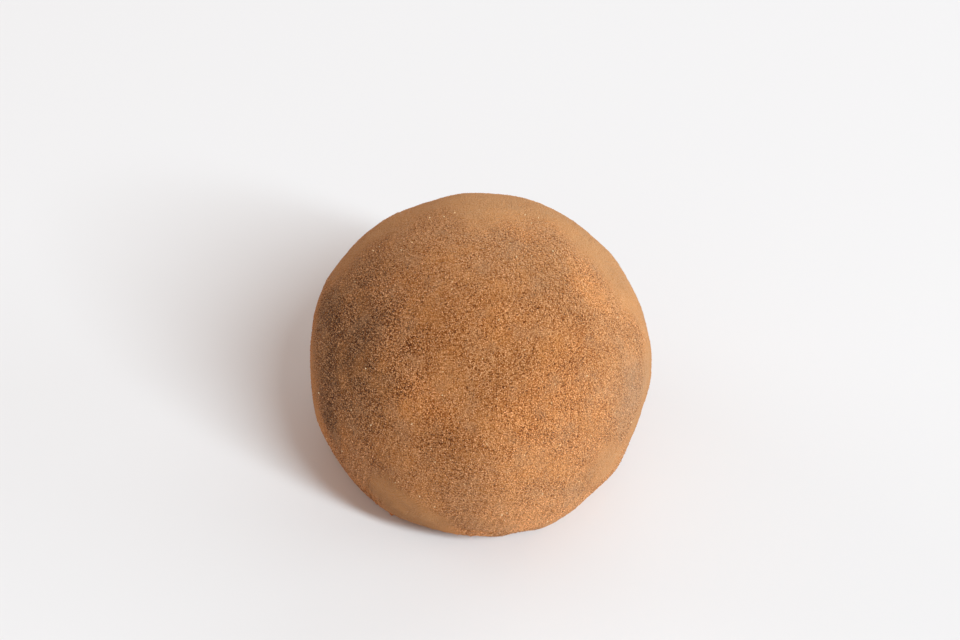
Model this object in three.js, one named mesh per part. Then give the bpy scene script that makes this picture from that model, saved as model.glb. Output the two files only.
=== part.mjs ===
// A chocolate truffle: one ball of ganache, rolled between the palms and coated in cocoa powder.
//
// The soft ball sank a little as it set, so it stands on a flat foot with a rounded edge. Palms and
// fingers pressed shallow flats into its sides, and the coat of powder leaves the skin slightly
// lumpy, with an uneven rim where the foot meets the tray. At the front left the rim is tucked in,
// so the side hangs over it a little.
//
// Millimetres, +Z up. The origin is on the tray, below the middle of the truffle, and the front
// of the truffle faces -Y.

import * as THREE from "three";
import { mergeVertices } from "three/addons/utils/BufferGeometryUtils.js";

// ---------------------------------------------------------------- driving dimensions

const BALL_RADIUS = 15.27; // the rolled ball, before anything presses it
const CENTRE_HEIGHT = 0.6 * BALL_RADIUS; // how high its centre stands after it has sunk
const FOOT_ROUND = 0.8; // radius of the rounded edge between the side and the flat foot

// Flats pressed by the hand: where each one faces, in degrees (azimuth from +X towards +Y, and
// height above the horizon), and how deep it cuts into the ball.
const PRESSED_FLATS = [
  { place: "left palm", azimuth: 180, elevation: 12, depth: 0.36 },
  { place: "left heel of the hand", azimuth: 189, elevation: 3, depth: 0.55 },
  { place: "left little finger", azimuth: 207, elevation: -11, depth: 0.46 },
  { place: "left, near the tray", azimuth: 220, elevation: -20, depth: 0.4 },
  { place: "left shoulder", azimuth: 203, elevation: 38, depth: 0.34 },
  { place: "front left, near the tray", azimuth: -112, elevation: -32, depth: 0.24 },
  { place: "front, near the tray", azimuth: -76, elevation: -33, depth: 0.25 },
  { place: "front right finger", azimuth: -45, elevation: -23, depth: 0.22 },
  { place: "front right knuckle", azimuth: -62, elevation: 12, depth: 0.3 },
  { place: "right thumb", azimuth: -21, elevation: -7, depth: 0.54 },
  { place: "right shoulder", azimuth: 14, elevation: 42, depth: 0.34 },
  { place: "crown", azimuth: 55, elevation: 76, depth: 0.26 },
  { place: "back shoulder", azimuth: 123, elevation: 48, depth: 0.1 },
  { place: "back right finger", azimuth: 64, elevation: -8, depth: 0.36 },
  { place: "back left finger", azimuth: 110, elevation: -14, depth: 0.3 },
];
const FLAT_EDGE = 0.24; // softness of a flat's edge: larger is rounder

const LUMP_HEIGHT = 0.07; // typical height of the low lumps in the skin
const LUMP_WAVES = 14; // how many waves are added up
const LONGEST_LUMP = 17; // wavelengths, from the broadest lump to the finest
const FINEST_LUMP = 3.2;

const RIM_RIPPLE = 0.1; // how far the foot's edge wanders in and out
const RIM_REACH = 2.4; // height above the tray at which the ripple has died out
const RIM_WAVES = [5, 9, 16, 23]; // ripples once round the foot

const TUCK_AZIMUTH = -110; // where the side is tucked in under itself, off the tray
const TUCK_WIDTH = 16; // degrees to each side within which most of the tuck lies
const TUCK_DEPTH = 1.3; // how far in the foot's edge goes there
const TUCK_REACH = 2.2; // height above the tray at which the tuck ends

const SETTLED_BAND = 1.6; // below this height the skin moves in and out, but not up and down

// Fineness of the mesh
const COLUMNS = 112; // once round
const SIDE_ROWS = 33; // from the foot's rounded edge up to the top
const ROUND_ROWS = 3; // along the foot's rounded edge

const COCOA = { color: 0x9c6238, roughness: 0.95, metalness: 0 };

// ---------------------------------------------------------------- the turned form

/**
 * Half the outline of a ball that has sunk onto its foot, from the middle of the foot up to the
 * top. The foot's edge is an arc that touches both the tray and the ball.
 */
function sunkenBallOutline() {
  const roundHeight = CENTRE_HEIGHT - FOOT_ROUND;
  const footRadius = Math.sqrt((BALL_RADIUS - FOOT_ROUND) ** 2 - roundHeight ** 2);
  const sideStart = -Math.atan2(roundHeight, footRadius);
  const outline = [new THREE.Vector2(0, 0)];
  for (let row = 0; row < ROUND_ROWS; row += 1) {
    const angle = THREE.MathUtils.lerp(-Math.PI / 2, sideStart, row / ROUND_ROWS);
    outline.push(
      new THREE.Vector2(
        footRadius + FOOT_ROUND * Math.cos(angle),
        FOOT_ROUND + FOOT_ROUND * Math.sin(angle),
      ),
    );
  }
  for (let row = 0; row < SIDE_ROWS; row += 1) {
    const angle = THREE.MathUtils.lerp(sideStart, Math.PI / 2, row / SIDE_ROWS);
    outline.push(
      new THREE.Vector2(
        BALL_RADIUS * Math.cos(angle),
        CENTRE_HEIGHT + BALL_RADIUS * Math.sin(angle),
      ),
    );
  }
  outline.push(new THREE.Vector2(0, CENTRE_HEIGHT + BALL_RADIUS));
  return outline;
}

// ---------------------------------------------------------------- the pressed skin

/** The unit vector that faces an azimuth and elevation in degrees. */
function facing(azimuth, elevation) {
  const around = THREE.MathUtils.degToRad(azimuth);
  const up = THREE.MathUtils.degToRad(elevation);
  return new THREE.Vector3(
    Math.cos(up) * Math.cos(around),
    Math.cos(up) * Math.sin(around),
    Math.sin(up),
  );
}

const flats = PRESSED_FLATS.map(({ azimuth, elevation, depth }) => ({
  normal: facing(azimuth, elevation),
  distance: BALL_RADIUS - depth,
}));

/**
 * Distance from the ball's centre to the skin along a direction: the soft minimum of the ball's
 * radius and the distance to each pressed flat. Exponentials of the distances are added, so that
 * the nearest surface wins and the edges between surfaces come out rounded.
 */
function pressedRadius(direction) {
  let closeness = 1;
  for (const flat of flats) {
    const slope = direction.dot(flat.normal);
    if (slope > 0) {
      closeness += Math.exp((BALL_RADIUS - flat.distance / slope) / FLAT_EDGE);
    }
  }
  return BALL_RADIUS - FLAT_EDGE * Math.log(closeness);
}

// The turn that spreads points, or the starts of waves, without any two lining up.
const GOLDEN_ANGLE = Math.PI * (3 - Math.sqrt(5));

/**
 * Directions spread evenly over a sphere by the golden angle. Each carries one wave, and the
 * wavelengths shrink by a constant ratio from the longest lump to the finest. Their starts grow
 * as squares, so that no two waves line up.
 */
const lumps = Array.from({ length: LUMP_WAVES }, (_, wave) => {
  const height = 1 - (2 * wave + 1) / LUMP_WAVES;
  const around = wave * GOLDEN_ANGLE;
  const width = Math.sqrt(1 - height * height);
  const share = wave / (LUMP_WAVES - 1);
  const length = LONGEST_LUMP * (FINEST_LUMP / LONGEST_LUMP) ** share;
  return {
    along: new THREE.Vector3(width * Math.cos(around), width * Math.sin(around), height),
    pace: (2 * Math.PI * BALL_RADIUS) / length,
    weight: LUMP_HEIGHT * Math.sqrt((2 / LUMP_WAVES) * (length / LONGEST_LUMP)),
    start: wave * wave,
  };
});

/** Height of the low lumps at a direction: a sum of plane waves, the broad ones the highest. */
function lumpHeight(direction) {
  let height = 0;
  for (const { along, pace, weight, start } of lumps) {
    height += weight * Math.cos(pace * direction.dot(along) + start);
  }
  return height;
}

/** How far the foot's edge wanders out at an azimuth: a few ripples that fade with height. */
function rimRipple(azimuth, height) {
  const fade = 1 - THREE.MathUtils.smoothstep(height, 0, RIM_REACH);
  let ripple = 0;
  RIM_WAVES.forEach((count, wave) => {
    ripple += Math.cos(count * azimuth + wave * GOLDEN_ANGLE);
  });
  return (RIM_RIPPLE * fade * ripple) / Math.sqrt(RIM_WAVES.length);
}

/** How far the foot's edge is tucked in at an azimuth: a bell curve that fades with height. */
function tuckDepth(azimuth, height) {
  const turn = azimuth - THREE.MathUtils.degToRad(TUCK_AZIMUTH);
  const away = THREE.MathUtils.radToDeg(Math.atan2(Math.sin(turn), Math.cos(turn)));
  const fade = 1 - THREE.MathUtils.smoothstep(height, 0, TUCK_REACH);
  return TUCK_DEPTH * fade * Math.exp(-((away / TUCK_WIDTH) ** 2));
}

/**
 * Moves one point of the turned form to the skin. Near the tray it only moves in and out, so the
 * foot stays flat.
 */
function pressPoint(point) {
  const centre = new THREE.Vector3(0, 0, CENTRE_HEIGHT);
  const arm = point.clone().sub(centre);
  const direction = arm.clone().normalize();
  const reach = (pressedRadius(direction) + lumpHeight(direction)) / BALL_RADIUS;
  const settled = THREE.MathUtils.smoothstep(point.z, 0, SETTLED_BAND);
  const across = Math.hypot(point.x, point.y);
  if (across > 0) {
    const azimuth = Math.atan2(point.y, point.x);
    const width = across * reach + rimRipple(azimuth, point.z) - tuckDepth(azimuth, point.z);
    point.x *= width / across;
    point.y *= width / across;
  }
  point.z += settled * arm.z * (reach - 1);
  return point;
}

/** The truffle's skin: the turned form with each of its points pressed. */
function truffleGeometry() {
  const turned = new THREE.LatheGeometry(sunkenBallOutline(), COLUMNS);
  turned.rotateX(Math.PI / 2);
  turned.deleteAttribute("normal");
  turned.deleteAttribute("uv");
  const skin = mergeVertices(turned);
  const places = skin.getAttribute("position");
  const point = new THREE.Vector3();
  for (let index = 0; index < places.count; index += 1) {
    pressPoint(point.fromBufferAttribute(places, index));
    places.setXYZ(index, point.x, point.y, point.z);
  }
  return centredOverOrigin(skin);
}

/** Slides the skin sideways so that the origin lies under the middle of its outline. */
function centredOverOrigin(skin) {
  skin.computeBoundingBox();
  const middle = skin.boundingBox.getCenter(new THREE.Vector3());
  skin.translate(-middle.x, -middle.y, 0);
  skin.computeVertexNormals();
  return skin;
}

// ---------------------------------------------------------------- the object

const truffle = new THREE.Mesh(truffleGeometry(), new THREE.MeshStandardMaterial(COCOA));
truffle.name = "truffle";

const group = new THREE.Group();
group.add(truffle);

export default group;
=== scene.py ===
# %% [markdown]
# # A chocolate truffle, rolled in cocoa
#
# The real thing is one soft ball of ganache. It was rolled between the palms, dropped into cocoa
# powder and left to set, so it sank a little onto a flat foot. Three things make it look real:
# the uneven form that hands leave, the coat of powder that lies on it in grains and small clods,
# and a dry surface that sends light back softly in every direction.
#
# The packed model holds the form as a solid. This lesson keeps that form, gives it a finer skin,
# and scatters real grains over it.

# %% Load the packed model
import math

import bmesh
import bpy
import numpy as np
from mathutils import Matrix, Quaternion, Vector


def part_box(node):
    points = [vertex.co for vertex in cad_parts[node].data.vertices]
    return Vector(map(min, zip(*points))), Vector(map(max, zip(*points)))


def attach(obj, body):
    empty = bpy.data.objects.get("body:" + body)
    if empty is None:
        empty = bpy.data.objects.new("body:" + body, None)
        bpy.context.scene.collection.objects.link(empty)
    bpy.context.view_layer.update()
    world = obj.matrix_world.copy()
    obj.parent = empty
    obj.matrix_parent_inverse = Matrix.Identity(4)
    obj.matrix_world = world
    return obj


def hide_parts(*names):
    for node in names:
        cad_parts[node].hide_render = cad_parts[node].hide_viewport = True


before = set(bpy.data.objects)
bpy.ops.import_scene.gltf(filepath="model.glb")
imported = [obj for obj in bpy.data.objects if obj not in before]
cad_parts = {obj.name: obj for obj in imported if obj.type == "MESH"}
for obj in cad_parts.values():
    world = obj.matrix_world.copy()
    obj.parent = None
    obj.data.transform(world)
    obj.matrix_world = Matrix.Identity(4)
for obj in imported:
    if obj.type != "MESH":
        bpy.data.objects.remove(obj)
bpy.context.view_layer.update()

MM = 0.001

# %% [markdown]
# ## The camera
#
# The truffle is seen from above its front, as somebody leaning over a table sees it. A long lens
# keeps the ball round. The aim is a little above the ball's middle, which places the ball slightly
# low in the frame. Depth of field stays off, so that every view is sharp.

# %% Place the camera
BALL_RADIUS = 15.27 * MM
CENTRE_HEIGHT = 0.6 * BALL_RADIUS
BALL_CENTRE = Vector((0, 0, CENTRE_HEIGHT))

CAMERA_TILT = math.radians(47)
CAMERA_DISTANCE = 200 * MM
CAMERA_LENS = 85
SENSOR_WIDTH = 36
NEAREST_SEEN = 1 * MM
AIM_RIGHT = -0.01 * MM
AIM_UP = 4.04 * MM


def placed_camera():
    """A camera that looks along +Y and down by its tilt, at the ball's middle plus its aim."""
    camera = bpy.data.objects.new("camera", bpy.data.cameras.new("camera"))
    bpy.context.scene.collection.objects.link(camera)
    camera.data.lens = CAMERA_LENS
    camera.data.sensor_width = SENSOR_WIDTH
    camera.data.clip_start = NEAREST_SEEN
    back = Vector((0, -math.cos(CAMERA_TILT), math.sin(CAMERA_TILT)))
    up = Vector((0, math.sin(CAMERA_TILT), math.cos(CAMERA_TILT)))
    aim = BALL_CENTRE + Vector((AIM_RIGHT, 0, 0)) + AIM_UP * up
    camera.location = aim + CAMERA_DISTANCE * back
    camera.rotation_euler = (math.pi / 2 - CAMERA_TILT, 0, 0)
    return camera


bpy.context.scene.camera = placed_camera()
print("camera at", [round(c / MM, 1) for c in bpy.context.scene.camera.location], "mm")

# %% [markdown]
# ## The rolled form
#
# A ball could be a subdivided sphere pushed about by hand. A formula is better here, because the
# skin, the grains and the crumbs all have to follow the same uneven form. The outline of a sunken
# ball is turned round the Z axis, and each point of it is then pressed.

# %% The outline of a ball that has sunk onto its foot
FOOT_ROUND = 0.8 * MM
ROUND_HEIGHT = CENTRE_HEIGHT - FOOT_ROUND
FOOT_RADIUS = math.sqrt((BALL_RADIUS - FOOT_ROUND) ** 2 - ROUND_HEIGHT**2)
SIDE_START = -math.atan2(ROUND_HEIGHT, FOOT_RADIUS)


def side_outline(angle):
    """Distance from the axis and height of the ball's side at an angle above its middle."""
    return BALL_RADIUS * np.cos(angle), CENTRE_HEIGHT + BALL_RADIUS * np.sin(angle)


def foot_outline(angle):
    """Distance from the axis and height of the foot's rounded edge, an arc from the floor."""
    return FOOT_RADIUS + FOOT_ROUND * np.cos(angle), FOOT_ROUND + FOOT_ROUND * np.sin(angle)


def turned(across, height, azimuth):
    """Points at a distance from the Z axis, a height and an azimuth."""
    return np.stack([across * np.cos(azimuth), across * np.sin(azimuth), height], axis=-1)


print("foot radius", round(FOOT_RADIUS / MM, 2), "mm, side starts at",
      round(math.degrees(SIDE_START), 1), "degrees")

# %% [markdown]
# Hands leave shallow flats. Each is a plane that cuts a fraction of a millimetre into the ball.
# Taking the smaller of two distances would leave a sharp edge, so the distances are blended by a
# soft minimum. A few broad waves then keep the skin from being perfectly even.

# %% The flats that hands pressed, and low lumps
PRESSED_FLATS = {  # azimuth and elevation in degrees that a flat faces, and its depth
    "left palm": (180, 12, 0.36 * MM),
    "left heel of the hand": (189, 3, 0.55 * MM),
    "left little finger": (207, -11, 0.46 * MM),
    "left, near the tray": (220, -20, 0.4 * MM),
    "left shoulder": (203, 38, 0.34 * MM),
    "front left, near the tray": (-112, -32, 0.24 * MM),
    "front, near the tray": (-76, -33, 0.25 * MM),
    "front right finger": (-45, -23, 0.22 * MM),
    "front right knuckle": (-62, 12, 0.3 * MM),
    "right thumb": (-21, -7, 0.54 * MM),
    "right shoulder": (14, 42, 0.34 * MM),
    "crown": (55, 76, 0.26 * MM),
    "back shoulder": (123, 48, 0.1 * MM),
    "back right finger": (64, -8, 0.36 * MM),
    "back left finger": (110, -14, 0.3 * MM),
}
FLAT_EDGE = 0.24 * MM
LEAST_SLOPE = 1e-6  # pushes the flats on the far side very far away

LUMP_HEIGHT = 0.07 * MM
LUMP_WAVES = 14
LONGEST_LUMP = 17 * MM
FINEST_LUMP = 3.2 * MM
GOLDEN_ANGLE = math.pi * (3 - math.sqrt(5))


def facing(azimuth, elevation):
    """The unit vector that faces an azimuth and an elevation in degrees."""
    around, up = math.radians(azimuth), math.radians(elevation)
    return np.array([math.cos(up) * math.cos(around), math.cos(up) * math.sin(around), math.sin(up)])


def pressed_radius(direction):
    """Soft minimum of the ball's radius and the distance to each flat along a direction.

    A flat's distance along a direction is its distance from the centre divided by the cosine of
    the angle between them. The soft minimum is minus the logarithm of a sum of exponentials.
    """
    closeness = np.zeros(direction.shape[:-1])
    for azimuth, elevation, depth in PRESSED_FLATS.values():
        slope = np.maximum(direction @ facing(azimuth, elevation), LEAST_SLOPE)
        distance = (BALL_RADIUS - depth) / slope
        closeness = np.logaddexp(closeness, (BALL_RADIUS - distance) / FLAT_EDGE)
    return BALL_RADIUS - FLAT_EDGE * closeness


def lump_height(direction):
    """A sum of plane waves in directions spread by the golden angle, the broad ones highest.

    Their starts grow as squares, so that no two waves line up.
    """
    height = np.zeros(direction.shape[:-1])
    for wave in range(LUMP_WAVES):
        level = 1 - (2 * wave + 1) / LUMP_WAVES
        across = math.sqrt(1 - level * level)
        around = wave * GOLDEN_ANGLE
        along = np.array([across * math.cos(around), across * math.sin(around), level])
        length = LONGEST_LUMP * (FINEST_LUMP / LONGEST_LUMP) ** (wave / (LUMP_WAVES - 1))
        weight = LUMP_HEIGHT * math.sqrt(2 / LUMP_WAVES * length / LONGEST_LUMP)
        pace = 2 * math.pi * BALL_RADIUS / length
        height += weight * np.cos(pace * (direction @ along) + wave * wave)
    return height


print(len(PRESSED_FLATS), "flats and", LUMP_WAVES, "waves of lumps")

# %% [markdown]
# The foot needs care of its own. Its edge wanders in and out a little, and at the front left the
# side is tucked in under itself, so that it hangs over the floor there. Both fade out with height.
# Near the floor, points move only sideways, which keeps the foot flat.

# %% Press the turned form
RIM_RIPPLE = 0.1 * MM
RIM_REACH = 2.4 * MM
RIM_WAVES = (5, 9, 16, 23)
TUCK_AZIMUTH = -110
TUCK_WIDTH = 16
TUCK_DEPTH = 1.3 * MM
TUCK_REACH = 2.2 * MM
SETTLED_BAND = 1.6 * MM


def smooth_step(value, start, end):
    """0 below start, 1 above end, and a smooth S between them."""
    share = np.clip((value - start) / (end - start), 0, 1)
    return share * share * (3 - 2 * share)


def rim_ripple(azimuth, height):
    """How far the foot's edge wanders out: a few ripples that fade with height."""
    waves = enumerate(RIM_WAVES)
    ripple = sum(np.cos(count * azimuth + wave * GOLDEN_ANGLE) for wave, count in waves)
    return RIM_RIPPLE * (1 - smooth_step(height, 0, RIM_REACH)) * ripple / math.sqrt(len(RIM_WAVES))


def tuck_depth(azimuth, height):
    """How far the foot's edge is tucked in: a bell curve round one azimuth, fading with height."""
    away = np.degrees(np.angle(np.exp(1j * (azimuth - math.radians(TUCK_AZIMUTH)))))
    return TUCK_DEPTH * (1 - smooth_step(height, 0, TUCK_REACH)) * np.exp(-((away / TUCK_WIDTH) ** 2))


def pressed(points):
    """Moves points of the turned form to the uneven one. Near the floor they move only sideways.

    Inside the foot's edge the ripple and the tuck shrink with the distance from the axis.
    """
    arm = points - np.array(BALL_CENTRE)
    direction = arm / np.linalg.norm(arm, axis=-1, keepdims=True)
    reach = (pressed_radius(direction) + lump_height(direction)) / BALL_RADIUS
    height = points[..., 2]
    across = np.maximum(np.hypot(points[..., 0], points[..., 1]), FOOT_RADIUS)
    azimuth = np.arctan2(points[..., 1], points[..., 0])
    wider = reach + (rim_ripple(azimuth, height) - tuck_depth(azimuth, height)) / across
    moved = points.copy()
    moved[..., 0] *= wider
    moved[..., 1] *= wider
    moved[..., 2] += smooth_step(height, 0, SETTLED_BAND) * arm[..., 2] * (reach - 1)
    return moved


top = pressed(np.array([[0, 0, CENTRE_HEIGHT + BALL_RADIUS]]))[0, 2]
print("the pressed form is", round(top / MM, 2), "mm high")

# %% [markdown]
# ## The coat of powder, as relief
#
# Powder lies in pats, in clods about a millimetre wide and in finer crumbs. A displacement in the
# shader would be lost when the model is exported, so the relief is moved into the mesh. Noise does
# it: random heights on a lattice of cubes, blended smoothly between the corners.

# %% Noise
LATTICE_SIDE = 48
LATTICE_SEED = 11
lattice = np.random.default_rng(LATTICE_SEED).random((LATTICE_SIDE,) * 3) * 2 - 1


def noise(points, wavelength):
    """Values from -1 to 1: the lattice's corners round each point, blended along x, y and z."""
    places = points / wavelength
    corner = np.floor(places).astype(int)
    share = places - corner
    share = share * share * (3 - 2 * share)
    total = 0
    for x in (0, 1):
        for y in (0, 1):
            for z in (0, 1):
                i, j, k = np.moveaxis((corner + (x, y, z)) % LATTICE_SIDE, -1, 0)
                weight = np.abs(1 - np.array((x, y, z)) - share).prod(-1)
                total = total + weight * lattice[i, j, k]
    return total


print("a lattice of", lattice.size, "heights that spread by", round(float(lattice.std()), 2))

# %% The relief of the powder
POWDER_LAYERS = (  # wavelength, height
    (2.7 * MM, 0.035 * MM),
    (1.25 * MM, 0.02 * MM),
    (0.6 * MM, 0.02 * MM),
    (0.3 * MM, 0.03 * MM),
)


def powder_height(points):
    """Relief of the coat at points of the skin: layers of noise, none on the flat foot."""
    height = sum(tall * noise(points, wavelength) for wavelength, tall in POWDER_LAYERS)
    return height * smooth_step(points[..., 2], 0, FOOT_ROUND)


def skin(across, height, azimuth):
    """Points of the finished skin: the turned form, pressed, with powder along its normal."""
    points = pressed(turned(across, height, azimuth))
    arm = points - np.array(BALL_CENTRE)
    outward = arm / np.linalg.norm(arm, axis=-1, keepdims=True)
    return points + outward * powder_height(points)[..., None], outward


print("relief of at most", round(sum(tall for _, tall in POWDER_LAYERS) / MM, 3), "mm")

# %% [markdown]
# The coat isn't the same all over. Where fingers touched the ball last, they rubbed the powder
# smooth, and the grains there are finer and paler. On the right there are chalky grey patches, and
# the whole right side, where the light is strong, is painted a little paler. On the left, the shaded
# side, the grains are coarse, and painted shade darkens them and deepens the contrast between them.
# Painted light makes the crown and the heel that faces the key a shade paler. Some spots are orange,
# and those on the lit front and right are also brighter, as painted light. Others are dull and dark,
# and on the shaded left and under the lip at the front left that darkness is painted shade.
#
# An image could be painted for this, but an image belongs to one size and one map. So each patch is
# a round cap with a ragged edge. A number from 0 to 1 says how far a point is inside one. The same
# number later sets the size of a grain and its colour.

# %% Patches of powder
PATCHES = {  # degrees: azimuth and elevation of the middle, half width, softness; then the strength
    "fine_powder": {
        "crown": (75, 60, 18, 14, 0.4),
        "behind the crown": (90, 56, 21, 9, 1.0),
        "behind the crown, right": (55, 47, 17, 8, 1.0),
        "right shoulder": (27, 39, 20, 8, 1.0),
        "right flank, upper": (11, 21, 16, 8, 1.0),
        "right flank": (-5, 5, 15, 8, 1.0),
        "right flank, lower": (-13, -6, 13, 8, 1.0),
        "front right heel": (-43, -8, 11, 5, 1.0),
        "right heel": (-45, -33, 12, 5, 1.0),
        "front left heel": (-115, -17, 13, 4, 1.0),
        "left heel": (-150, -32, 10, 5, 1.0),
        "left flank, lower": (-167, -6, 13, 9, 1.0),
        "left flank": (-175, 5, 15, 9, 1.0),
        "left flank, upper": (163, 16, 9, 9, 1.0),
        "left shoulder": (149, 35, 16, 9, 1.0),
        "behind the crown, left": (123, 48, 17, 9, 1.0),
        "back": (100, -10, 14, 10, 0.8),
    },
    # Chalky grey patches; the broad one on the right side is painted light, paler where the light is
    # strong.
    "thick_powder": {
        "right side": (-30, -5, 38, 38, 0.3),
        "right flank": (-25, 12, 12, 6, 0.8),
        "front right heel": (-58, -5, 8, 4, 0.7),
    },
    # Painted shade on the shaded left: darker, with more contrast between its coarser grains.
    "thin_powder": {
        "left shoulder": (-156, 33, 19, 18, 1.0),
        "left side": (-146, 20, 14, 10, 0.6),
    },
    # Painted light: paler round the crown and on the front right heel, which faces the key.
    "settled_powder": {
        "crown": (60, 48, 45, 30, 1.0),
        "front right heel": (-68, -12, 15, 8, 1.0),
    },
    # Orange patches, brighter too: on the lit front and right, and at the front heel, that is painted
    # light.
    "orange_powder": {
        "front right": (-62, 16, 22, 12, 1.0),
        "front right heel": (-68, -14, 16, 8, 1.0),
        "front heel": (-94, -28, 8, 5, 0.9),
        "right side": (-5, 26, 10, 7, 0.9),
        "right shoulder": (0, 51, 10, 6, 1.0),
        "front right shoulder": (-42, 43, 12, 8, 0.7),
        "right heel": (-44, -12, 14, 7, 1.0),
        "crown": (25, 73, 9, 6, 0.6),
        "right of the crown": (30, 58, 7, 4, 0.7),
        "below the crown": (-78, 63, 12, 8, 0.5),
        "front": (-106, 32, 9, 6, 0.6),
        "back right": (66, 8, 13, 9, 0.8),
        "back left": (124, 4, 11, 8, 0.6),
    },
    # Dull dark spots: on the shaded left and under the lip at the front left, this darkness is painted
    # shade.
    "damp_powder": {
        "left shoulder": (-152, 34, 15, 10, 1.0),
        "left shoulder, further back": (-172, 33, 10, 8, 1.0),
        "left of the crown": (-178, 62, 8, 6, 0.4),
        "left side": (-139, 22, 13, 9, 0.6),
        "back left shoulder": (162, 44, 12, 9, 0.5),
        "right of the crown": (-8, 68, 8, 4, 0.4),
        "front left": (-117, 16, 9, 7, 0.4),
        "back": (95, 20, 12, 9, 0.5),
        "back left": (150, -6, 12, 8, 0.6),
        "back right": (34, -8, 11, 8, 0.5),
        "left side, lower": (-145, 12, 8, 5, 1.0),
        "front left heel": (-117, -14, 11, 4, 1.0),
    },
}
PATCH_RAGGED = 8  # degrees
PATCH_WAVE = 2.6 * MM


def patch_share(points, kind):
    """How far points are inside the patches of one kind: 0 outside, their strength inside."""
    arm = points - np.array(BALL_CENTRE)
    direction = arm / np.linalg.norm(arm, axis=-1, keepdims=True)
    wander = PATCH_RAGGED * noise(points, PATCH_WAVE)
    share = np.zeros(direction.shape[:-1])
    for azimuth, elevation, half, edge, strength in PATCHES[kind].values():
        away = np.degrees(np.arccos(np.clip(direction @ facing(azimuth, elevation), -1, 1)))
        inside = 1 - smooth_step(away + wander, half - edge, half + edge)
        share = np.maximum(share, strength * inside)
    return share


print("patches:", {kind: len(patches) for kind, patches in PATCHES.items()})

# %% [markdown]
# ## The truffle's skin
#
# The skin is a grid: columns go once round, and rows run from the middle of the foot, along its
# rounded edge and up the side. One point closes it at each pole. The grid has a step of about a
# fifth of a millimetre, fine enough for the relief. The grains on it are pieces of their own.

# %% A mesh from arrays
def new_piece(name, points, triangles, smooth):
    """An object at the origin from points and triangles, given as whole arrays."""
    mesh = bpy.data.meshes.new(name)
    mesh.vertices.add(len(points))
    mesh.vertices.foreach_set("co", points.astype(np.float32).ravel())
    mesh.loops.add(triangles.size)
    mesh.loops.foreach_set("vertex_index", triangles.astype(np.int32).ravel())
    mesh.polygons.add(len(triangles))
    mesh.polygons.foreach_set("loop_start", np.arange(0, triangles.size, 3, dtype=np.int32))
    mesh.polygons.foreach_set("use_smooth", np.full(len(triangles), smooth))
    mesh.update(calc_edges=True)
    piece = bpy.data.objects.new(name, mesh)
    bpy.context.scene.collection.objects.link(piece)
    print(name, "has", len(triangles), "triangles")
    return piece


def add_numbers(piece, name, values):
    """Keeps one number for each vertex of a piece, for its material to read."""
    numbers = piece.data.attributes.new(name, "FLOAT", "POINT")
    numbers.data.foreach_set("value", values.astype(np.float32).ravel())


# %% The skin's grid
COLUMNS = 480
FOOT_ROWS = 4
ROUND_ROWS = 8
SIDE_ROWS = 190


def skin_rows():
    """Distance from the axis and height of each row between the two poles."""
    flat = FOOT_RADIUS * np.arange(1, FOOT_ROWS) / FOOT_ROWS
    rounded = foot_outline(np.linspace(-math.pi / 2, SIDE_START, ROUND_ROWS, endpoint=False))
    side = side_outline(np.linspace(SIDE_START, math.pi / 2, SIDE_ROWS, endpoint=False))
    across = np.concatenate([flat, rounded[0], side[0]])
    height = np.concatenate([0 * flat, rounded[1], side[1]])
    return across, height


def grid_triangles(rows, columns):
    """Triangles of a closed tube of rows and columns, with a fan to a pole at each end."""
    column = np.arange(columns)
    after = (column + 1) % columns
    row = columns * np.arange(rows - 1)[:, None]
    a, b, c, d = row + column, row + after, row + columns + after, row + columns + column
    walls = np.stack([np.stack([a, b, c], -1), np.stack([a, c, d], -1)]).reshape(-1, 3)
    bottom, top = rows * columns, rows * columns + 1
    last = (rows - 1) * columns
    foot_fan = np.stack([after, column, np.full(columns, bottom)], -1)
    crown_fan = np.stack([last + column, last + after, np.full(columns, top)], -1)
    return np.concatenate([walls, foot_fan, crown_fan])


def truffle_skin():
    """The whole skin, its rows at every azimuth, closed by the middle of the foot and the top."""
    across, height = skin_rows()
    azimuth = np.arange(COLUMNS) * 2 * math.pi / COLUMNS
    points, _ = skin(across[:, None], np.repeat(height[:, None], COLUMNS, 1), azimuth)
    poles, _ = skin(np.array([0.0, 0.0]), np.array([0.0, CENTRE_HEIGHT + BALL_RADIUS]), np.zeros(2))
    everything = np.concatenate([points.reshape(-1, 3), poles])
    return everything, grid_triangles(len(across), COLUMNS)


skin_points, skin_triangles = truffle_skin()

# %% [markdown]
# The solid stands with the middle of its box over the origin. The skin is finer, and the middle of
# its box isn't quite the same, so it is slid sideways to match. All that is scattered over the skin
# is slid by the same amount. Each point of the skin also keeps how far it is inside the patches.

# %% Stand the skin where the solid stands
solid_low, solid_high = (np.array(corner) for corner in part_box("truffle"))
skin_middle = (skin_points.min(0) + skin_points.max(0)) / 2
shift = (solid_low + solid_high) / 2 - skin_middle
shift[2] = 0
print("shift in mm", (shift / MM).round(3))

truffle = new_piece("truffle_skin", skin_points + shift, skin_triangles, smooth=True)
for kind in PATCHES:
    add_numbers(truffle, kind, patch_share(skin_points, kind))
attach(truffle, "root")
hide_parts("truffle")

# %% [markdown]
# ## Loose grains
#
# Cocoa powder is a crowd of grains about a tenth of a millimetre across. They could be particles,
# but particles are not part of an exported mesh. Each grain is an eight-sided pebble with its
# corners pulled in and out, and all the grains of one shade are joined into one mesh by arrays.

# %% One pebble
PEBBLE_CORNERS = np.array([(1, 0, 0), (-1, 0, 0), (0, 1, 0), (0, -1, 0), (0, 0, 1), (0, 0, -1)], float)
PEBBLE_FACES = np.array(
    [(0, 2, 4), (2, 1, 4), (1, 3, 4), (3, 0, 4), (2, 0, 5), (1, 2, 5), (3, 1, 5), (0, 3, 5)]
)
CORNER_PULL = (0.65, 1.3)


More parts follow.
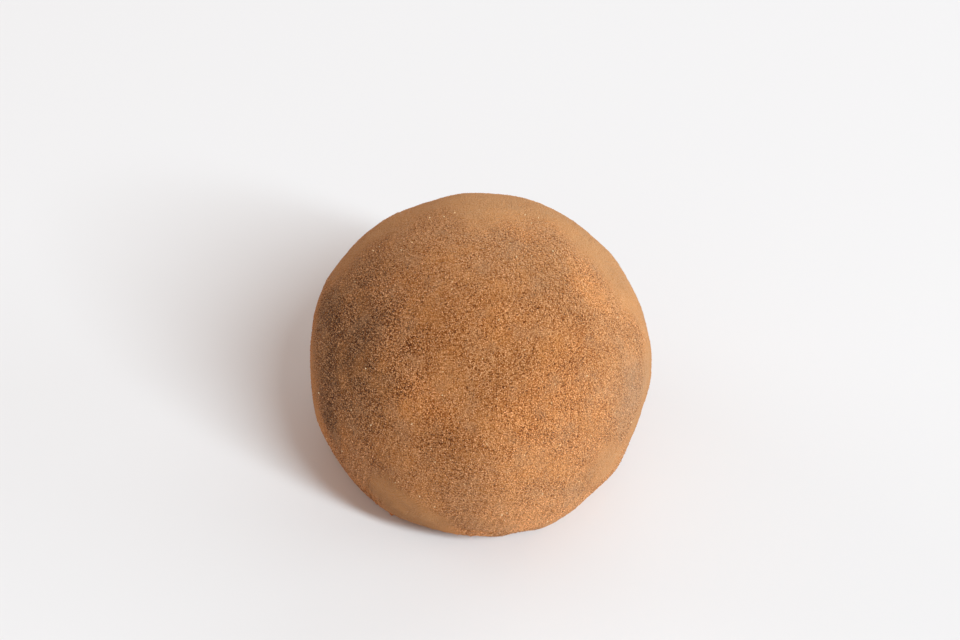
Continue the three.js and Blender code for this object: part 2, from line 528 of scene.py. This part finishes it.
def random_turns(draw, count):
    """Rotation matrices spread evenly over all turns, from random unit quaternions."""
    quaternion = draw.normal(size=(4, count))
    w, x, y, z = quaternion / np.linalg.norm(quaternion, axis=0)
    rows = [
        [1 - 2 * (y * y + z * z), 2 * (x * y - z * w), 2 * (x * z + y * w)],
        [2 * (x * y + z * w), 1 - 2 * (x * x + z * z), 2 * (y * z - x * w)],
        [2 * (x * z - y * w), 2 * (y * z + x * w), 1 - 2 * (x * x + y * y)],
    ]
    return np.array(rows).transpose(2, 0, 1)


def scattered(name, draw, places, corners, faces):
    """Joins one small shape at each place, each turned at random, none of it below the floor."""
    count, size = corners.shape[:2]
    turned_corners = corners @ random_turns(draw, count).transpose(0, 2, 1)
    points = (places[:, None] + shift + turned_corners).reshape(-1, 3)
    points[:, 2] = np.maximum(points[:, 2], 0)
    triangles = (faces + size * np.arange(count)[:, None, None]).reshape(-1, 3)
    piece = new_piece(name, points, triangles, smooth=False)
    for kind in PATCHES:
        add_numbers(piece, kind, np.repeat(patch_share(places, kind), size))
    add_numbers(piece, "own_shade", np.repeat(draw.uniform(-1, 1, count), size))
    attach(piece, "root")
    return piece


# %% [markdown]
# Thousands of grains share one image when the model is exported. So each pebble gets a tile of
# its own in a map, with its six corners on a hexagon, where no face shrinks to a line.

# %% Many pebbles as one piece
TILE_SHARE = 0.36  # the hexagon's radius, as a share of the tile's side
TILE_MIDDLE = 0.5
HEXAGON = np.radians([0, 180, 60, 240, 120, 300])


def add_tiles(piece, count):
    """Lays each pebble in its own square of the map, in rows and columns."""
    side = math.ceil(math.sqrt(count))
    middle = np.stack(np.divmod(np.arange(count), side), -1)[:, None] + TILE_MIDDLE
    hexagon = TILE_SHARE * np.stack([np.cos(HEXAGON), np.sin(HEXAGON)], -1)
    corners = ((middle + hexagon) / side).reshape(-1, 2)
    triangles = (PEBBLE_FACES + len(PEBBLE_CORNERS) * np.arange(count)[:, None, None]).ravel()
    tiles = piece.data.uv_layers.new(name="OFBake")
    tiles.uv.foreach_set("vector", corners[triangles].astype(np.float32).ravel())


def pebbles(name, draw, places, outward, radii, sunk):
    """One pebble at each place, sunk into the skin by a share of its radius."""
    count = len(places)
    pull = draw.uniform(*CORNER_PULL, (count, len(PEBBLE_CORNERS), 1))
    corners = PEBBLE_CORNERS * pull * radii[:, None, None]
    centres = places - outward * (draw.uniform(*sunk, count) * radii)[:, None]
    piece = scattered(name, draw, centres, corners, PEBBLE_FACES)
    add_tiles(piece, count)
    return piece


# %% [markdown]
# Grains thrown down at random would leave bald spots and heaps. Powder packs more evenly, so the
# places follow the golden angle, as seeds in a sunflower do, and each is then nudged a little,
# which hides the spiral. Some grains sit deep and some ride on their neighbours, which gives low
# light something to catch. The grains are fine where the powder is, and coarse on the shaded left.
#
# Then they are dealt out to five shades. Dealing in turn would draw stripes along the spiral, so the
# deal goes by steps of a number that no fraction comes near, and each shade stays evenly spread.

# %% Deal out the grains
GRAINS = 120000
GRAIN_RADII = (0.04 * MM, 0.07 * MM)
FINE_GRAIN = 0.55
THIN_GRAIN = 1.2
GRAIN_SUNK = (-0.3, 0.8)
GRAIN_NUDGE = 0.6
SHADE_TURN = 0.7548777  # its multiples, taken without their whole part, spread evenly
GRAIN_SHADES = {
    "pale_grains": 0.62,
    "tan_grains": 0.23,
    "brown_grains": 0.0,
    "dark_grains": -0.23,
    "deep_grains": -0.45,
}


def even_places(draw, count):
    """Places over the side, equally many to each square millimetre, and the way out at each.

    Equal steps of height cut a ball into bands of equal area, and each next place turns on by the
    golden angle. The nudge is a share of the distance between neighbours.
    """
    sine = np.linspace(1, math.sin(SIDE_START), count)
    step = math.sqrt(2 * math.pi * (1 - math.sin(SIDE_START)) / count)
    nudge = GRAIN_NUDGE * step * draw.uniform(-1, 1, (2, count))
    angle = np.clip(np.arcsin(sine) + nudge[0], SIDE_START, math.pi / 2)
    azimuth = GOLDEN_ANGLE * np.arange(count) + nudge[1] / np.maximum(np.cos(angle), step)
    return skin(*side_outline(angle), azimuth)


GRAIN_SEED = 21
draw = np.random.default_rng(GRAIN_SEED)
grain_places, grain_outward = even_places(draw, GRAINS)
grain_fineness = patch_share(grain_places, "fine_powder")
grain_coarsening = patch_share(grain_places, "thin_powder")
grain_radii = draw.uniform(*GRAIN_RADII, GRAINS)
grain_radii *= 1 + (FINE_GRAIN - 1) * grain_fineness + (THIN_GRAIN - 1) * grain_coarsening
grain_kind = (len(GRAIN_SHADES) * (SHADE_TURN * np.arange(GRAINS) % 1)).astype(int)
grains = {}
for kind, name in enumerate(GRAIN_SHADES):
    mine = grain_kind == kind
    grains[name] = pebbles(
        name, draw, grain_places[mine], grain_outward[mine], grain_radii[mine], GRAIN_SUNK
    )

# %% [markdown]
# ## Glints
#
# Here and there a crystal of sugar lies on the powder and catches the light. A texture of sparkles
# would flicker as the view turns, so they are pebbles too, a little larger than the grains and
# standing proud of them. Where the powder was rubbed smooth there are few or none.

# %% The few bright crystals
GLINTS = 130
GLINT_RADII = (0.05 * MM, 0.08 * MM)
GLINT_SUNK = (-0.9, -0.4)
GLINT_SEED = 31
draw = np.random.default_rng(GLINT_SEED)
coarseness = 1 - grain_fineness
chosen = draw.choice(GRAINS, GLINTS, replace=False, p=coarseness / coarseness.sum())
glint_radii = draw.uniform(*GLINT_RADII, GLINTS)
glints = pebbles("glints", draw, grain_places[chosen], grain_outward[chosen], glint_radii, GLINT_SUNK)

# %% [markdown]
# ## Crumbs along the foot
#
# Where the ball was set down, powder and chocolate were squeezed out into dark crumbs that hang
# along the foot's edge, most of all at the front left. They are larger than grains, so each is a
# ball of eighty faces, pushed in and out by the same noise, and flattened.

# %% Crumbs
FOOT_CRUMBS = 160
CRUMB_RADII = (0.12 * MM, 0.34 * MM)
CRUMB_DENT = 0.35
CRUMB_DENT_SIZE = 0.6  # of the crumb's radius, as the depth of a dent is
CRUMB_FLATNESS = (0.45, 0.9)
CRUMB_TOP = 1.2 * MM
CRUMB_LOWNESS = 2  # 1 would spread them evenly up to their top
CRUMBLY_SHARE = 0.5
CRUMBLY_AZIMUTHS = (-155, -95)
CRUMB_SUNK = 0.4
CRUMB_SEED = 41


def icosphere():
    """Corners and faces of a ball made of eighty triangles."""
    ball = bmesh.new()
    bmesh.ops.create_icosphere(ball, subdivisions=2, radius=1)
    corners = np.array([corner.co for corner in ball.verts])
    faces = np.array([[corner.index for corner in face.verts] for face in ball.faces])
    ball.free()
    return corners, faces


def foot_crumbs(draw):
    """Dented, flattened balls along the foot's rounded edge, half of them where it is crumbly."""
    azimuth = np.radians(np.where(
        draw.random(FOOT_CRUMBS) < CRUMBLY_SHARE,
        draw.uniform(*CRUMBLY_AZIMUTHS, FOOT_CRUMBS),
        draw.uniform(-180, 180, FOOT_CRUMBS),
    ))
    height = CRUMB_TOP * draw.random(FOOT_CRUMBS) ** CRUMB_LOWNESS
    across = FOOT_RADIUS + np.sqrt(np.maximum(FOOT_ROUND**2 - (FOOT_ROUND - height) ** 2, 0))
    places, outward = skin(across, height, azimuth)
    radii = CRUMB_RADII[0] * (CRUMB_RADII[1] / CRUMB_RADII[0]) ** draw.random(FOOT_CRUMBS)
    corners, faces = icosphere()
    own_dents = corners + LATTICE_SIDE * draw.random((FOOT_CRUMBS, 1, 3))
    dents = 1 + CRUMB_DENT * noise(own_dents, CRUMB_DENT_SIZE)
    flatness = np.stack([draw.uniform(*CRUMB_FLATNESS, FOOT_CRUMBS), *np.ones((2, FOOT_CRUMBS))], -1)
    shapes = corners * dents[..., None] * flatness[:, None] * radii[:, None, None]
    return scattered("foot_crumbs", draw, places - CRUMB_SUNK * outward * radii[:, None], shapes, faces)


crumbs = foot_crumbs(np.random.default_rng(CRUMB_SEED))

# %% [markdown]
# ## Shader maths as Python
#
# A shader is a graph of nodes. Writing each sum as a node is hard to read, so a small class wraps
# one output of a node. Adding or multiplying two of them adds the Math node that does it.

# %% A socket that can be used in sums
class Socket:
    """One output of a shader node, used in Python sums as if it were a number."""

    def __init__(self, tree, output=None):
        self.tree, self.output = tree, output

    def node(self, kind, settings=(), inputs=(), output=0):
        """Adds a node, sets its settings, then its inputs to values or links; gives one output."""
        made = self.tree.nodes.new(kind)
        for name, value in dict(settings).items():
            if name == "stops":
                set_stops(made.color_ramp, value)
            else:
                setattr(made, name, value)
        for name, value in dict(inputs).items():
            if isinstance(value, Socket):
                self.tree.links.new(value.output, made.inputs[name])
            else:
                made.inputs[name].default_value = value
        return Socket(self.tree, made.outputs[output])

    def maths(self, operation, a, b):
        return self.node("ShaderNodeMath", {"operation": operation}, {0: a, 1: b})

    def __add__(self, other):
        return self.maths("ADD", self, other)

    def __sub__(self, other):
        return self.maths("SUBTRACT", self, other)

    def __rsub__(self, other):
        return self.maths("SUBTRACT", other, self)

    def __mul__(self, other):
        return self.maths("MULTIPLY", self, other)

    __radd__ = __add__
    __rmul__ = __mul__


def set_stops(ramp, stops):
    """Gives a colour ramp its stops, each a place from 0 to 1 and a colour.

    A ramp starts with two stops. Each one added starts halfway, and all are then set.
    """
    while len(ramp.elements) < len(stops):
        ramp.elements.new(0.5)
    for element, (place, colour) in zip(ramp.elements, stops):
        element.position, element.color = place, (*colour, 1)


# %% Patterns shared by the cocoa materials
def object_place(tree):
    """The point of the piece, in metres from the origin."""
    return Socket(tree).node("ShaderNodeTexCoord", output="Object")


def mottle(place, wavelength, detail=2.0):
    """Soft noise from 0 to 1, around a half, with lumps of a given size."""
    return place.node(
        "ShaderNodeTexNoise", inputs={"Vector": place, "Scale": 1 / wavelength, "Detail": detail}
    )


def cells(place, size, output):
    """Cells of a given size: their random colour, or the distance to the cell's middle."""
    return place.node(
        "ShaderNodeTexVoronoi", inputs={"Vector": place, "Scale": 1 / size}, output=output
    )


def cell_shade(place, size):
    """One random number from 0 to 1 for each cell."""
    return place.node("ShaderNodeSeparateColor", inputs={0: cells(place, size, "Color")})


def kept_number(place, name):
    """A number that the piece keeps for each vertex."""
    return place.node("ShaderNodeAttribute", {"attribute_name": name}, output="Fac")


def mixed(below, above, share, blend="MIX"):
    """Two colours blended in a given way, such as MIX or MULTIPLY, by a share of the upper one.

    The Mix node has sockets for numbers and vectors too, so its colours are sockets 6 and 7.
    """
    settings = {"data_type": "RGBA", "blend_type": blend}
    return share.node("ShaderNodeMix", settings, {0: share, 6: below, 7: above}, output=2)


print("operators of a socket:", [name for name in vars(Socket) if name.startswith("__")])

# %% [markdown]
# ## The cocoa's finish
#
# Cocoa is a dry powder, so it has almost no gloss, and its light is spread so widely that the ball
# looks flatter than plaster would. A high roughness alone would still leave it looking like clay.
# Diffuse roughness and a little warm sheen give the look of powder, and as they are the same all
# over, they are plain values on the shader.

# %% A dry surface
DRY_POWDER = {
    "Roughness": 0.9,
    "Diffuse Roughness": 0.3,
    "Specular IOR Level": 0.15,
    "Sheen Weight": 0.2,
    "Sheen Roughness": 0.5,
    "Sheen Tint": (1.0, 0.92, 0.65, 1),
}


def surface(name, finish):
    """A material whose shader has the plain values of a finish, and that shader."""
    material = bpy.data.materials.new(name)
    material.use_nodes = True
    shader = material.node_tree.nodes["Principled BSDF"]
    for socket, value in finish.items():
        shader.inputs[socket].default_value = value
    print(name, "starts from", len(finish), "plain values")
    return material, shader


def feed(shader, name, socket):
    """Links a Socket to one of the shader's inputs."""
    socket.tree.links.new(socket.output, shader.inputs[name])


# %% [markdown]
# The colour of the coat wanders: pats of fine pale powder, darker clods, and a new shade from grain
# to grain. Its lightness is worked out first, as one number. It is a middle value, plus a slow
# drift, plus the shade of the grain, which counts for less where the powder is fine and for more on
# the shaded left, as painted shade. Painted light adds a little to it round the crown and on the heel
# that faces the key, and painted shade takes some away on the shaded left.

# %% The coat's lightness
FINE_CONTRAST = 0.4
# Painted shade on the shaded left: more contrast between the grains, and a darker colour.
PAINTED_SHADE_CONTRAST = 2.4
PAINTED_SHADE_DARKENING = 0.25
# Painted light: how much paler the crown and the heel that faces the key are painted.
PAINTED_LIGHT_PALING = 0.1
DRIFTS = ((5 * MM, 0.32), (1.3 * MM, 0.25))  # wavelength, swing
HALF = 0.5  # where soft noise and the random shades of cells have their middle


def lightness(place, middle, shade):
    """A middle value, moved by the drift and by the shade of a grain, from 0 (deep) to 1 (pale)."""
    fine, painted_shade = kept_number(place, "fine_powder"), kept_number(place, "thin_powder")
    # Painted shade raises the contrast and darkens the shaded left; painted light makes the crown
    # paler.
    contrast = 1 + (FINE_CONTRAST - 1) * fine + (PAINTED_SHADE_CONTRAST - 1) * painted_shade
    painted_light_and_shade = PAINTED_LIGHT_PALING * kept_number(place, "settled_powder") - PAINTED_SHADE_DARKENING * painted_shade
    drift = sum(swing * (mottle(place, wavelength) - HALF) for wavelength, swing in DRIFTS)
    return middle + painted_light_and_shade + drift + contrast * shade


# %% [markdown]
# A ramp then turns the number into a colour, from deep chocolate to pale cocoa. One ramp for the
# coat and for all its grains keeps them one powder. Orange patches are multiplied by a warm tint that
# is also brighter, painted light on the lit front and right, and dull patches by a darker shade,
# painted shade on the shaded left and under the lip, because both let the grains show through. Soft
# spots of orange and grey follow, and last the pale powder of the fine and the chalky patches, which
# covers what is below. The broad pale patch on the right side is painted light.

# %% The coat's colours
COCOA_STOPS = [
    (0.0, (0.1, 0.021, 0.002)),
    (0.12, (0.27, 0.065, 0.0055)),
    (0.5, (0.515, 0.211, 0.066)),
    (1.0, (0.86, 0.456, 0.225)),
]
ORANGE_COCOA = (0.68, 0.27, 0.07, 1)
ORANGE_SPOTS = 3.1 * MM
ORANGE_SHARE = 0.3
# A warm tint that also brightens, partly painted light on the lit front and right.
ORANGE_TINT_AND_PAINTED_LIGHT = (1.24, 1.19, 1.06, 1)
# Darker and duller, mostly painted shade on the shaded left and under the lip at the front left.
DULL_AND_PAINTED_SHADE = (0.68, 0.655, 0.62, 1)
GREY_COCOA = (0.47, 0.235, 0.11, 1)
GREY_SPOTS = 1.9 * MM
GREY_SHARE = 0.35
SPOT_EDGES = (0.52, 0.72)
FINE_POWDER = (0.6, 0.267, 0.094, 1)
FINE_PALING = 0.5
# Pale chalky cocoa; on the broad right-side patch it is painted light.
CHALKY_AND_LIT_COCOA = (0.54, 0.315, 0.185, 1)
CHALKY_AND_LIT_PALING = 0.4


def spots(place, wavelength, share):
    """0 over most of the coat, rising to a share inside scattered soft spots of a given size."""
    low, high = SPOT_EDGES
    return place.node(
        "ShaderNodeMapRange",
        inputs={"Value": mottle(place, wavelength), "From Min": low, "From Max": high, "To Max": share},
    )


def cocoa_colour(place, value):
    """The ramp's colour, with orange and grey spots, painted light and shade, paler where fine or
    chalky.
    """
    colour = value.node("ShaderNodeValToRGB", {"stops": COCOA_STOPS}, {0: value})
    # Painted light: the orange patches brighten the lit front and right as well as tint them.
    colour = mixed(colour, ORANGE_TINT_AND_PAINTED_LIGHT, kept_number(place, "orange_powder"), "MULTIPLY")
    # Painted shade: the dull patches darken the shaded left and the lip at the front left.
    colour = mixed(colour, DULL_AND_PAINTED_SHADE, kept_number(place, "damp_powder"), "MULTIPLY")
    colour = mixed(colour, ORANGE_COCOA, spots(place, ORANGE_SPOTS, ORANGE_SHARE))
    colour = mixed(colour, GREY_COCOA, spots(place, GREY_SPOTS, GREY_SHARE))
    colour = mixed(colour, FINE_POWDER, FINE_PALING * kept_number(place, "fine_powder"))
    # The broad pale patch on the right side is painted light; the smaller ones are chalky powder.
    return mixed(colour, CHALKY_AND_LIT_COCOA, CHALKY_AND_LIT_PALING * kept_number(place, "thick_powder"))


# %% [markdown]
# The grains have their real shape. What is smaller still, the clumps in which they cling together
# and the pits between them, is left to a bump. It only bends the light, and at this size nobody can
# see that the outline stays the same.

# %% The coat's small relief
CLUMPS = 0.2 * MM
CLUMP_DETAIL = 1.0
CLUMP_HEIGHT = 0.13 * MM


def clumped(place, relief):
    """A normal that follows clumps of grains, with a finer relief on top of them."""
    height = mottle(place, CLUMPS, CLUMP_DETAIL) + relief
    return height.node("ShaderNodeBump", inputs={"Height": height, "Distance": CLUMP_HEIGHT})


# %% [markdown]
# Between the loose grains the coat itself shows. It is made of cells: each has a shade of its own,
# as a grain has, and is painted darkest far from its middle, as painted shade in the pit between
# two grains.

# %% The coat's material
COAT_LIGHTNESS = 0.42
COAT_SPECKLE = 0.09 * MM
COAT_PITS = 0.12 * MM
PIT_MIDDLE = 0.45
SPECKLE_SWING = 0.5
# Painted shade: how much darker the coat is painted towards the edges of its cells, where pits lie.
PIT_PAINTED_SHADE = 0.9


def coat_material():
    """Speckled cocoa with painted shade in the pits between its grains, under the loose grains."""
    material, shader = surface("cocoa_coat", DRY_POWDER)
    place = object_place(material.node_tree)
    pits = cells(place, COAT_PITS, "Distance")
    speckle = SPECKLE_SWING * (cell_shade(place, COAT_SPECKLE) - HALF)
    shade = speckle - PIT_PAINTED_SHADE * (pits - PIT_MIDDLE)
    feed(shader, "Base Color", cocoa_colour(place, lightness(place, COAT_LIGHTNESS, shade)))
    feed(shader, "Normal", clumped(place, 1 - pits))
    return material


truffle.data.materials.append(coat_material())

# %% [markdown]
# The loose grains have the coat's colours, so that they belong to it. Five materials differ only in
# how pale they are, and a number that each grain keeps moves its own shade a little further.

# %% The grains' materials
GRAIN_LIGHTNESS = 0.5
OWN_SHADE = 0.16


def grain_material(name):
    """The coat's colours, moved towards pale or dark for one shade of grain."""
    material, shader = surface(name, DRY_POWDER)
    place = object_place(material.node_tree)
    shade = GRAIN_SHADES[name] + OWN_SHADE * kept_number(place, "own_shade")
    feed(shader, "Base Color", cocoa_colour(place, lightness(place, GRAIN_LIGHTNESS, shade)))
    feed(shader, "Normal", clumped(place, 0))
    return material


for name, piece in grains.items():
    piece.data.materials.append(grain_material(name))

# %% [markdown]
# The crumbs are chocolate with hardly any powder left on them, so they are darker and redder than
# the coat. A few broad shades are enough, because each crumb is only a few pixels wide.

# %% The crumbs' material
CRUMB_DARK = (0.22, 0.055, 0.018, 1)
CRUMB_RED = (0.6, 0.2, 0.06, 1)
CRUMB_OWN_SHADE = 0.4
CRUMB_MOTTLE = 0.5
CRUMB_SPOTS = 0.2 * MM


def crumb_material():
    """Chocolate that shows through its powder: reddish, some crumbs darker than others."""
    material, shader = surface("foot_crumbs", DRY_POWDER)
    place = object_place(material.node_tree)
    own = CRUMB_OWN_SHADE * kept_number(place, "own_shade")
    redness = HALF + own + CRUMB_MOTTLE * (mottle(place, CRUMB_SPOTS) - HALF)
    feed(shader, "Base Color", mixed(CRUMB_DARK, CRUMB_RED, redness))
    return material


crumbs.data.materials.append(crumb_material())

# %% [markdown]
# The glints are the only glossy thing here: pale crystals with smooth faces. They are opaque,
# because at a tenth of a millimetre nobody sees through them, and glass would only add noise. Their
# colour varies a little from one to the next.

# %% The glints' material
CRYSTAL = {"Roughness": 0.2}
GLINT_PALE = (1.0, 0.8, 0.5, 1)
GLINT_WARM = (1.0, 0.7, 0.36, 1)


def glint_material():
    """Crystals from warm to pale, with smooth faces."""
    material, shader = surface("glints", CRYSTAL)
    paleness = HALF + HALF * kept_number(object_place(material.node_tree), "own_shade")
    feed(shader, "Base Color", mixed(GLINT_WARM, GLINT_PALE, paleness))
    return material


glints.data.materials.append(glint_material())

# %% [markdown]
# ## Floor and light
#
# The truffle stands on a plain white surface with no gloss. It is large enough for its far edge to
# stay out of sight. It isn't part of the truffle, so it is only a stage for it.

# %% The floor
FLOOR_SIDE = 3.0
MATT_WHITE = {
    "Base Color": (0.84, 0.808, 0.808, 1),
    "Roughness": 0.9,
    "Specular IOR Level": 0.1,
}


def white_floor():
    """A square of two triangles round the origin."""
    half = FLOOR_SIDE / 2
    points = np.array([(-half, -half, 0), (half, -half, 0), (half, half, 0), (-half, half, 0)])
    floor = new_piece("floor", points, np.array([(0, 1, 2), (0, 2, 3)]), smooth=False)
    material, _ = surface("floor", MATT_WHITE)
    floor.data.materials.append(material)
    return floor


white_floor()

# %% [markdown]
# One bare lamp would give a hard shadow, and one large window no shadow at all. The key is a narrow
# softbox, more than a metre tall, that leans over at the front right. Because it is narrow, the
# long edges of the shadow stay crisp, and because it is tall, the shadow's far end melts away.
#
# A low card on the right lights that flank from the side, a wide one behind it opens the shadow, and
# a white one on the left keeps the dark side readable. All but the white one are cool, and the
# surroundings are warm. So the light on the floor is neutral, and the shadow is a little warm.

# %% The lights
DAYLIGHT = (0.785, 0.93, 1.0)
WHITE_CARD = (1.0, 1.0, 1.0)
LIGHT_DISTANCE = 1.8
SOFTBOXES = {  # azimuth, elevation and lean in degrees, width, height, watts, colour
    "key_softbox": (-46.5, 43, 27, 0.2, 1.25, 32.0, DAYLIGHT),
    "right_card": (0, 6, 0, 0.84, 0.4, 17.0, DAYLIGHT),
    "back_card": (60, 26, 0, 2.0, 0.84, 7.5, DAYLIGHT),
    "left_card": (155, 12, 0, 1.0, 0.6, 6.8, WHITE_CARD),
}
SURROUNDINGS = (1.0, 0.833, 0.731, 1)
SURROUNDINGS_STRENGTH = 0.45


def softbox(name):
    """A rectangular light round the ball, turned to face it and leaning to one side."""
    azimuth, elevation, lean, width, height, watts, colour = SOFTBOXES[name]
    light = bpy.data.lights.new(name, "AREA")
    light.shape = "RECTANGLE"
    light.size, light.size_y, light.energy, light.color = width, height, watts, colour
    lamp = bpy.data.objects.new(name, light)
    bpy.context.scene.collection.objects.link(lamp)
    towards = Vector(facing(azimuth, elevation))
    lamp.location = BALL_CENTRE + LIGHT_DISTANCE * towards
    leaning = Quaternion((0, 0, 1), math.radians(lean))
    lamp.rotation_euler = (towards.to_track_quat("Z", "Y") @ leaning).to_euler()
    print(name, "gives", watts, "watts from", [round(c, 2) for c in lamp.location])


for name in SOFTBOXES:
    softbox(name)

world = bpy.data.worlds.new("surroundings")
world.use_nodes = True
world.node_tree.nodes["Background"].inputs["Color"].default_value = SURROUNDINGS
world.node_tree.nodes["Background"].inputs["Strength"].default_value = SURROUNDINGS_STRENGTH
bpy.context.scene.world = world
bpy.context.scene.view_settings.view_transform = "Standard"

# %% [markdown]
# ## Sizes
#
# The dressed truffle is the solid with about a tenth of a millimetre of powder on it.
